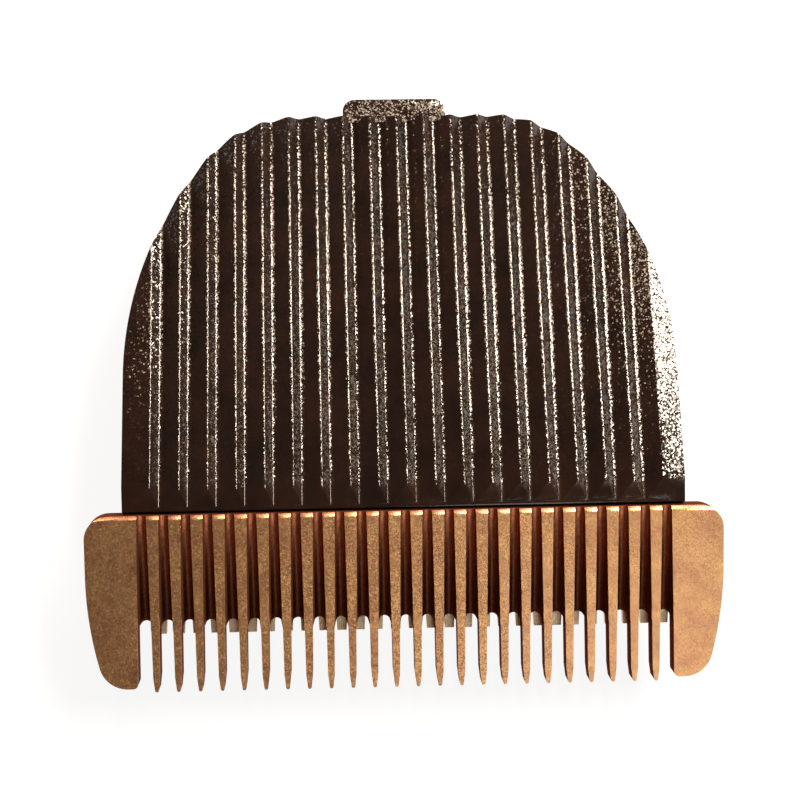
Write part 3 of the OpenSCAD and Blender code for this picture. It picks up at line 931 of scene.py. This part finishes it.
@dataclass
class CombBlade(Piece):
    """Fixed blade: thin teeth between two wide end teeth, with ground grooves that thin it towards the root line."""

    thick: float = 1.8
    rear_edge: float = 0.45
    rear_corner_r: float = 1.6
    tooth_n: int = 24
    end_tooth_w: float = 3.435
    root_w: float = 0.54
    tooth_w: float = 0.47
    tip_w: float = 0.26
    tip_l: float = 1.0
    root_reach: float = 8.1
    end_reach: float = 12.55
    side_start: float = 4.6
    side_r: float = 26.0
    corner_r: float = 2.0
    inner_r: float = 0.35
    groove_r: float = 0.33
    groove_start: float = 0.42
    groove_flare: float = 5.0
    screw_x: float = 17.05
    screw_reach: float = 2.1
    rear_bevel: float = 0.15
    side_edge: float = 0.1
    chamfer_w: float = 0.34
    chamfer_angle: float = 30.0
    rim_w: float = 0.02

    def __post_init__(self) -> None:
        """Names the piece and what it stands for."""
        self.name = "comb_blade"
        self.nodes = ("fixed_blade",)
        self.slot = Slot.COATED_STEEL

    @property
    def inner(self) -> float:
        """Inner side of an end tooth."""
        return self.datum.blade_w / 2 - self.end_tooth_w

    @property
    def pitch(self) -> float:
        """Distance from tooth to tooth."""
        return (2 * self.inner + self.tooth_w) / (self.tooth_n + 1)

    @property
    def root_r(self) -> float:
        """Radius of the round root between two teeth."""
        return (self.pitch - self.root_w) / 2

    def tooth(self) -> list[Point2]:
        """Gives one thin tooth between the tops of the arches on its two sides."""
        reach, r = self.datum.blade_reach, self.tip_w / 2
        left = arc((-self.pitch / 2, -self.root_reach - self.root_r), self.root_r, 90, 0, 10)
        left += [(-self.tooth_w / 2, -reach + self.tip_l)]
        half = left + arc((0, -reach + r), r, 180, 270, 6)
        return half + mirrored(half)[1:]

    def end_teeth(self) -> list[Point2]:
        """Gives the outline from the last arch round the end teeth and the rear edge to the first arch."""
        half, reach = self.datum.blade_w / 2, self.root_reach + self.root_r
        side = (half - self.side_r, -self.side_start)
        span = self.side_r - self.corner_r
        meet = -math.asin((self.end_reach - self.corner_r - self.side_start) / span)
        corner = (side[0] + span * math.cos(meet), side[1] + span * math.sin(meet))
        last = self.tooth_n / 2 * self.pitch
        right = arc((last, -reach), self.root_r, 90, 0, 10)
        right += arc((self.inner + self.inner_r, self.inner_r - self.end_reach), self.inner_r, 180, 270, 8)
        right += arc(corner, self.corner_r, -90, math.degrees(meet), 24)
        right += arc(side, self.side_r, math.degrees(meet), 0, 40)[1:]
        right += arc((half - self.rear_corner_r, -self.rear_edge - self.rear_corner_r), self.rear_corner_r, 0, 90, 16)
        return right + mirrored(right)

    def blank(self) -> bpy.types.Object:
        """Makes the toothed plate with its rolled outer edge.

        Returns:
            The plate, flat, with its face at Z = 0.
        """
        tooth = line_object("tooth", self.tooth())
        plate = line_object("comb", self.end_teeth())
        start = -(self.tooth_n - 1) / 2 * self.pitch
        OutlineTool().run(plate, period=tooth, count=self.tooth_n, pitch=self.pitch * MM,
                          start=start * MM, depth=self.thick * MM)
        discard(tooth)
        plate.data.transform(Matrix.Translation((0, 0, -self.thick * MM)))
        face_outwards(plate.data)
        self.weigh_edges(plate.data)
        edge = plate.modifiers.new("edge", "BEVEL")
        edge.width = self.rear_bevel * MM
        edge.segments = 3
        edge.limit_method = "WEIGHT"
        settle(plate)
        return plate

    def weigh_edges(self, mesh: bpy.types.Mesh) -> None:
        """Marks how wide each edge of the plate's outline is rounded.

        Args:
            mesh: The plate's mesh, with its face at Z = 0.
        """
        weight = mesh.attributes.new("bevel_weight_edge", "FLOAT", "EDGE")
        rear = -(self.rear_edge + self.rear_corner_r) * MM
        half = self.datum.blade_w / 2 * MM
        side = self.side_edge / self.rear_bevel
        for edge in mesh.edges:
            a, b = (mesh.vertices[k].co for k in edge.vertices)
            if abs(a.z - b.z) > 1e-7:
                continue
            mid = (a + b) / 2
            top = mid.z > -1e-7
            if top and mid.y > rear + 1e-7:
                turn = min(1.0, (mid.y - rear) / (self.rear_corner_r * MM))
                weight.data[edge.index].value = side + (1 - side) * turn
            elif abs(mid.x) > self.inner * MM + 3e-5 and abs(mid.x) < half:
                weight.data[edge.index].value = side if top else side * 0.6

    def groove_tool(self) -> bpy.types.Object:
        """Makes the tool solid of one groove, which falls towards the tips."""
        fall = math.atan((self.thick - self.groove_start) / (self.root_reach - self.rear_edge))
        deep = self.thick * 2
        top = self.groove_r + (deep - self.groove_r) * math.tan(math.radians(self.groove_flare))
        section = arc((0, self.groove_r), self.groove_r, 180, 360, 20) + [(top, deep), (-top, deep)]
        place = (Matrix.Translation((0, -self.rear_edge * MM, -self.groove_start * MM))
                 @ Matrix.Rotation(fall, 4, "X") @ Matrix.Rotation(math.radians(90), 4, "X"))
        return prism("groove", section, -1.0, self.datum.blade_reach + 1, place)

    def build(self) -> bpy.types.Object:
        """Makes the blade: the plate, its row of grooves, its screw holes and its crisp rims."""
        item = self.blank()
        half, high = self.datum.blade_w, self.chamfer_w * math.tan(math.radians(self.chamfer_angle))
        turn = Matrix(((0, 0, 1, 0), (1, 0, 0, 0), (0, 1, 0, 0), (0, 0, 0, 1)))
        combine(item, Work.CUT, prism("chamfer", [(-self.rear_edge - self.chamfer_w, 0.0), (-self.rear_edge, -high),
                                                  (self.rear_edge, -high), (self.rear_edge, 1.0),
                                                  (-self.rear_edge - self.chamfer_w, 1.0)], -half, half, turn))
        groove = self.groove_tool()
        RowTool(Work.CUT).run(item, tool=groove, count=self.tooth_n + 1, pitch=self.pitch * MM,
                              start=-self.tooth_n / 2 * self.pitch * MM)
        discard(groove)
        hole = drum("hole", (self.screw_x, -self.screw_reach), 0.83, -self.thick - 1, -self.thick + 0.78)
        combine(item, Work.CUT, hole, mirror_solid(hole))
        flatten_facets(item.data)
        soften(item, self.rim_w, 60.0)
        item.data.transform(self.datum.blade)
        smooth(item)
        return item


@dataclass
class CutterBlade(Piece):
    """Moving blade behind the comb, with short trapezoid teeth."""

    tooth_n: int = 29
    pitch: float = 1.26
    root_w: float = 0.86
    tip_w: float = 0.66
    bar_front: float = 6.7
    bar_rear: float = 5.2
    rear: float = 0.55
    tip: float = 9.1
    top: float = -1.84
    thick: float = 1.0
    body_w: float = 24.3
    shift: float = 0.54
    peg_x: float = 7.15
    edge_w: float = 0.025

    def __post_init__(self) -> None:
        """Names the piece and what it stands for."""
        self.name = "cutter_blade"
        self.nodes = ("moving_blade",)
        self.body = Body.CUTTER
        self.slot = Slot.CUTTER_STEEL

    def build(self) -> bpy.types.Object:
        """Makes the toothed bar from one repeated tooth, and relieves and bores it."""
        r = (self.pitch - self.root_w) / 2
        left = arc((-self.pitch / 2, -self.bar_front - r), r, 90, 0, 6) + [(-self.tip_w / 2, -self.tip)]
        tooth = line_object("cutter_tooth", left + mirrored(left))
        half = self.tooth_n * self.pitch / 2
        right = [(half, -self.bar_front), (half, -self.bar_rear), (self.body_w / 2, -self.bar_rear),
                 (self.body_w / 2, -self.rear)]
        item = line_object("cutter", right + mirrored(right))
        OutlineTool().run(item, period=tooth, count=self.tooth_n, pitch=self.pitch * MM,
                          start=-(self.tooth_n - 1) / 2 * self.pitch * MM, depth=self.thick * MM)
        discard(tooth)
        under = self.top - self.thick
        item.data.transform(Matrix.Translation((self.shift * MM, 0, under * MM)))
        face_outwards(item.data)
        turn = Matrix(((0, 0, 1, 0), (1, 0, 0, 0), (0, 1, 0, 0), (0, 0, 0, 1)))
        relief = prism("relief", [(-self.bar_front, under), (-self.tip - 1, under - 1),
                                  (-self.tip - 1, under + self.thick / 2), (-self.tip, under + self.thick / 2)],
                       -self.datum.blade_w, self.datum.blade_w, turn)
        mid = -(self.bar_rear + self.rear) / 2
        holes = [drum("hole", (self.shift + side * self.peg_x, mid), 0.93, under - 1, self.top + 1) for side in (-1, 1)]
        combine(item, Work.CUT, relief, *holes)
        flatten_facets(item.data)
        soften(item, self.edge_w, 45.0)
        item.data.transform(self.datum.blade)
        smooth(item)
        return item


@dataclass
class CadCopy(Piece):
    """A piece whose CAD shape is right: a merged copy of it gets rounded edges."""

    source: str = "drive_block"
    edge_w: float = 0.12
    angle: float = 40.0

    def __post_init__(self) -> None:
        """Names the piece and what it stands for."""
        self.name = "drive_block_moulding"
        self.nodes = (self.source,)
        self.body = Body.CUTTER
        self.slot = Slot.DRIVE_PLASTIC

    def build(self) -> bpy.types.Object:
        """Copies the CAD node's mesh, merges it and rounds its edges."""
        item = place_object("copy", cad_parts[self.source].data.copy())
        flatten_facets(item.data)
        soften(item, self.edge_w, self.angle)
        smooth(item)
        return item


@dataclass
class PressureSpring(Piece):
    """Bent wire with two coils, which presses the moving blade against the comb."""

    wire_d: float = 0.7
    turns: int = 3
    coil_pitch: float = 0.73
    coil_r: float = 1.425
    coil_back: float = 8.0
    coil_h: float = 3.6
    wire_x: float = 10.85
    foot_end_x: float = 7.0
    foot_x: float = 8.4
    foot_back: float = -2.4
    block_under: float = -4.74
    gap: float = 0.08
    plate_under: float = -1.8
    bow_bend: float = 1.6

    def __post_init__(self) -> None:
        """Names the piece and what it stands for."""
        self.name = "pressure_spring"
        self.nodes = ("tension_spring",)
        self.slot = Slot.SPRING_STEEL

    @staticmethod
    def bend(before: Vector, corner: Vector, after: Vector, length: float) -> list[Vector]:
        """Rounds a corner of the route.

        Args:
            before: Point that the route comes from.
            corner: The corner.
            after: Point that the route goes to.
            length: How far from the corner the round starts and ends.

        Returns:
            The points of the round.
        """
        p0 = corner + (before - corner).normalized() * length
        p2 = corner + (after - corner).normalized() * length
        return [(1 - t) ** 2 * p0 + 2 * t * (1 - t) * corner + t ** 2 * p2 for t in (k / 12 for k in range(13))]

    def route(self) -> list[Vector]:
        """Gives the wire's right half, from its foot through the coil to the middle of the bow."""
        d = self.datum
        cover, blade = math.radians(d.cover_tilt), math.radians(d.blade_tilt)
        coil_y, top = d.ridge_y + self.coil_back, self.coil_h + self.coil_r
        foot_z = (d.ridge_h + self.foot_back * math.tan(blade)
                  + (self.block_under - self.gap - self.wire_d / 2) / math.cos(blade))
        bow_y = d.ridge_y + (d.ridge_h - top + (self.plate_under - self.gap - self.wire_d / 2)
                             / math.cos(cover)) / math.tan(cover)
        foot_y = d.ridge_y + self.foot_back
        out_x = self.wire_x + self.turns * self.coil_pitch
        end = Vector((self.foot_end_x, foot_y, foot_z))
        corner = Vector((out_x, bow_y, top))
        points = [end] + self.bend(end, Vector((self.foot_x, foot_y, foot_z)), Vector((self.wire_x, coil_y, top)), 0.7)
        for k in range(self.turns * 40 + 1):
            a = math.radians(90 - 360 * k / 40)
            points.append(Vector((self.wire_x + self.coil_pitch * k / 40, coil_y + self.coil_r * math.cos(a),
                                  self.coil_h + self.coil_r * math.sin(a))))
        return points + self.bend(Vector((out_x, coil_y, top)), corner, Vector((0, bow_y, top)), self.bow_bend)

    def build(self) -> bpy.types.Object:
        """Makes the wire along the whole route."""
        right = self.route()
        points = right + [Vector((-p.x, p.y, p.z)) for p in reversed(right)]
        mesh = bpy.data.meshes.new("route")
        mesh.from_pydata([p * MM for p in points], [(k, k + 1) for k in range(len(points) - 1)], [])
        item = place_object("wire", mesh)
        WireTool().run(item, radius=self.wire_d / 2 * MM, facets=20)
        face_outwards(item.data)
        smooth(item, 50.0)
        return item


@dataclass
class BladeScrews(Piece):
    """Two pan-head screws with cross recesses, which come up through the corner blocks."""

    screw_x: float = 17.05
    reach: float = 2.1
    shank_r: float = 0.8
    head_r: float = 1.5
    head_h: float = 1.1
    seat: float = -4.0
    tip: float = -1.05
    recess_w: float = 0.45
    recess_d: float = 0.6

    def __post_init__(self) -> None:
        """Names the piece and what it stands for."""
        self.name = "blade_screws"
        self.nodes = ("blade_screw_left", "blade_screw_right")
        self.slot = Slot.SCREW_STEEL

    def turned(self) -> bpy.types.Object:
        """Makes one screw on the Z axis by turning its profile, with a domed head edge and a recess."""
        low = self.seat - self.head_h
        dome = [(r, z) for r, z in arc((self.head_r - 0.4, low + 0.4), 0.4, -90, 0, 6)]
        side = [(0.0, low)] + dome + [(self.head_r, self.seat), (self.shank_r, self.seat),
                                      (self.shank_r, self.tip - 0.2), (self.shank_r - 0.2, self.tip), (0.0, self.tip)]
        work = bmesh.new()
        line = [work.verts.new((r * MM, 0, z * MM)) for r, z in side]
        edges = [work.edges.new(pair) for pair in zip(line, line[1:])]
        bmesh.ops.spin(work, geom=line + edges, cent=(0, 0, 0), axis=(0, 0, 1), angle=math.tau, steps=48)
        bmesh.ops.remove_doubles(work, verts=work.verts, dist=1e-6)
        bmesh.ops.recalc_face_normals(work, faces=work.faces)
        mesh = bpy.data.meshes.new("screw")
        work.to_mesh(mesh)
        work.free()
        item = place_object("screw", mesh)
        bars = [block("recess", (-self.shank_r, -self.recess_w / 2, low - 1), (self.shank_r, self.recess_w / 2, low + self.recess_d),
                      Matrix.Rotation(math.radians(turn), 4, "Z")) for turn in (0, 90)]
        combine(bars[0], Work.JOIN, bars[1])
        combine(item, Work.CUT, bars[0])
        return item

    def build(self) -> bpy.types.Object:
        """Sets the two screws in a row on the blade face."""
        screw = self.turned()
        item = place_object("screws", bpy.data.meshes.new("screws"))
        RowTool(Work.JOIN).run(item, tool=screw, count=2, pitch=2 * self.screw_x * MM, start=-self.screw_x * MM)
        discard(screw)
        soften(item, 0.03, 50.0)
        item.data.transform(self.datum.blade @ Matrix.Translation((0, -self.reach * MM, 0)))
        face_outwards(item.data)
        smooth(item, 35.0)
        return item


@dataclass(frozen=True)
class SoftBox:
    """A studio lamp, placed by how far it leans from straight above the piece."""

    name: str
    lean_x: float
    lean_y: float
    distance: float
    width: float
    depth: float
    radiance: float
    colour: str = "#FFFFFF"

    def hang(self, target: Vector) -> bpy.types.Object:
        """Hangs the lamp.

        Args:
            target: The point it shines at.

        Returns:
            The lamp's object.
        """
        lamp = bpy.data.lights.new(self.name, "AREA")
        lamp.shape = "RECTANGLE"
        lamp.size, lamp.size_y = self.width, self.depth
        lamp.energy = self.radiance * math.pi * self.width * self.depth
        lamp.color = srgb(self.colour)[:3]
        item = bpy.data.objects.new(self.name, lamp)
        bpy.context.scene.collection.objects.link(item)
        way = Vector((math.tan(math.radians(self.lean_x)), math.tan(math.radians(self.lean_y)), 1.0)).normalized()
        across = Vector((0.0, 1.0, 0.0)).cross(way).normalized()
        turn = Matrix((across, way.cross(across), way)).transposed().to_4x4()
        item.matrix_world = Matrix.Translation(target + way * self.distance) @ turn
        item.visible_camera = False
        return item


@dataclass
class Studio:
    """Pale floor, soft lamps, pale surroundings and the camera."""

    datum: Datum
    lens: float = 83.0
    elevation: float = 83.17
    yaw: float = -2.0
    roll: float = 1.05
    offset: Point3 = (-0.36, 7.217, 126.98)
    floor_size: float = 4.0

    def set_floor(self) -> None:
        """Lays the floor, which looks white and still takes the object's shadow."""
        half = self.floor_size / 2
        mesh = bpy.data.meshes.new("floor")
        mesh.from_pydata([(-half, -half, 0), (half, -half, 0), (half, half, 0), (-half, half, 0)], [], [(0, 1, 2, 3)])
        mesh.transform(Matrix.Translation((0, 0, -0.02 * MM)))
        floor = place_object("floor", mesh)
        made = bpy.data.materials.new("white_paper")
        made.use_nodes = True
        tree = made.node_tree
        tree.nodes.clear()
        paper = add_node(tree, "ShaderNodeBsdfDiffuse", {"Color": srgb("#F4F2EF")})
        glow = add_node(tree, "ShaderNodeEmission", {"Color": (1.0, 1.0, 1.0, 1.0), "Strength": 1.0})
        ray = add_node(tree, "ShaderNodeLightPath")
        seen = add_node(tree, "ShaderNodeMath", {0: ray.outputs["Is Camera Ray"], 1: ray.outputs["Is Glossy Ray"]},
                        operation="MAXIMUM")
        seen = add_node(tree, "ShaderNodeMath", {0: seen.outputs[0], 1: ray.outputs["Is Transmission Ray"]},
                        operation="MAXIMUM")
        share = add_node(tree, "ShaderNodeMath", {0: seen.outputs[0], 1: 0.9}, operation="MULTIPLY")
        both = add_node(tree, "ShaderNodeMixShader", {0: share.outputs[0], 1: paper.outputs[0], 2: glow.outputs[0]})
        add_node(tree, "ShaderNodeOutputMaterial", {"Surface": both.outputs[0]})
        mesh.materials.append(made)

    def set_world(self) -> None:
        """Sets pale surroundings near the horizon and a darker ceiling."""
        world = bpy.data.worlds.new("room")
        bpy.context.scene.world = world
        world.use_nodes = True
        tree = world.node_tree
        tree.nodes.clear()
        way = add_node(tree, "ShaderNodeTexCoord").outputs["Generated"]
        height = add_node(tree, "ShaderNodeSeparateXYZ", {0: way}).outputs["Z"]
        ramp = add_node(tree, "ShaderNodeValToRGB", {"Fac": height})
        bands = ramp.color_ramp
        bands.elements[0].position, bands.elements[0].color = 0.0, (0.22, 0.19, 0.16, 1.0)
        bands.elements[1].position, bands.elements[1].color = 0.3, (0.16, 0.14, 0.12, 1.0)
        for spot, tone in ((0.56, (0.12, 0.1, 0.09, 1.0)), (1.0, (0.06, 0.05, 0.045, 1.0))):
            bands.elements.new(spot).color = tone
        back = add_node(tree, "ShaderNodeBackground", {"Color": ramp.outputs[0], "Strength": 1.0})
        add_node(tree, "ShaderNodeOutputWorld", {"Surface": back.outputs[0]})

    def set_lamps(self) -> None:
        """Hangs the lamps above the cover and the blade."""
        cover = Vector((0.0, 0.004, 0.007))
        blade = Vector((0.0, -0.015, 0.008))
        SoftBox("strip", 32.0, 29.0, 0.4, 0.13, 0.3, 56.0, "#FFF0DC").hang(cover)
        SoftBox("panel", 2.0, 40.0, 0.4, 0.18, 0.1, 18.0, "#FFE2C4").hang(cover)
        SoftBox("fill", 14.0, -33.0, 0.4, 0.115, 0.16, 2.9, "#FFFAEC").hang(blade)

    def set_camera(self) -> None:
        """Sets the camera where the photograph was taken from."""
        data = bpy.data.cameras.new("camera")
        data.lens, data.sensor_width = self.lens, 36.0
        data.clip_start, data.clip_end = 0.01, 20.0
        turn = Matrix.Identity(4)
        for angle, axis in ((90 - self.elevation, "X"), (self.yaw, "Y"), (-self.roll, "Z")):
            turn = turn @ Matrix.Rotation(math.radians(angle), 4, axis)
        item = bpy.data.objects.new("camera", data)
        bpy.context.scene.collection.objects.link(item)
        item.matrix_world = (Matrix.Translation(self.datum.ridge) @ turn
                             @ Matrix.Translation(Vector(self.offset) * MM))
        bpy.context.scene.camera = item

    def set_up(self) -> None:
        """Sets the whole studio."""
        self.set_floor()
        self.set_world()
        self.set_lamps()
        self.set_camera()
        bpy.context.scene.view_settings.view_transform = "Standard"


def main() -> None:
    """Builds the pieces in order and sets the studio."""
    logging.basicConfig(level=logging.INFO, format="%(name)s %(message)s")
    datum = Datum()
    face = datum.blade.to_3x3() @ Vector((0, 0, 1))
    coated = HardCoatedSteel("hard_coated_ground_steel", tuple(face), datum.ridge.dot(face) / MM)
    HousingMoulding(datum, SparkErodedPlastic("spark_eroded_dark_abs", smooth_y=datum.ridge_y + 1.8)).fit()
    CombBlade(datum, coated).fit()
    CutterBlade(datum, BareMetal("lapped_cutter_steel", "#F0E2C6", "#DDCBAA", 0.45, 0.55, 0.07, 30.0)).fit()
    CadCopy(datum, MouldedAcetal("moulded_acetal")).fit()
    PressureSpring(datum, BareMetal("drawn_spring_wire", "#BDBBB8", "#96938F", 0.2, 0.32)).fit()
    BladeScrews(datum, BareMetal("nickel_plated_screw", "#D2CCC0", "#B4AEA2", 0.12, 0.24, 0.3)).fit()
    Studio(datum).set_up()


if __name__ == "__main__":
    main()
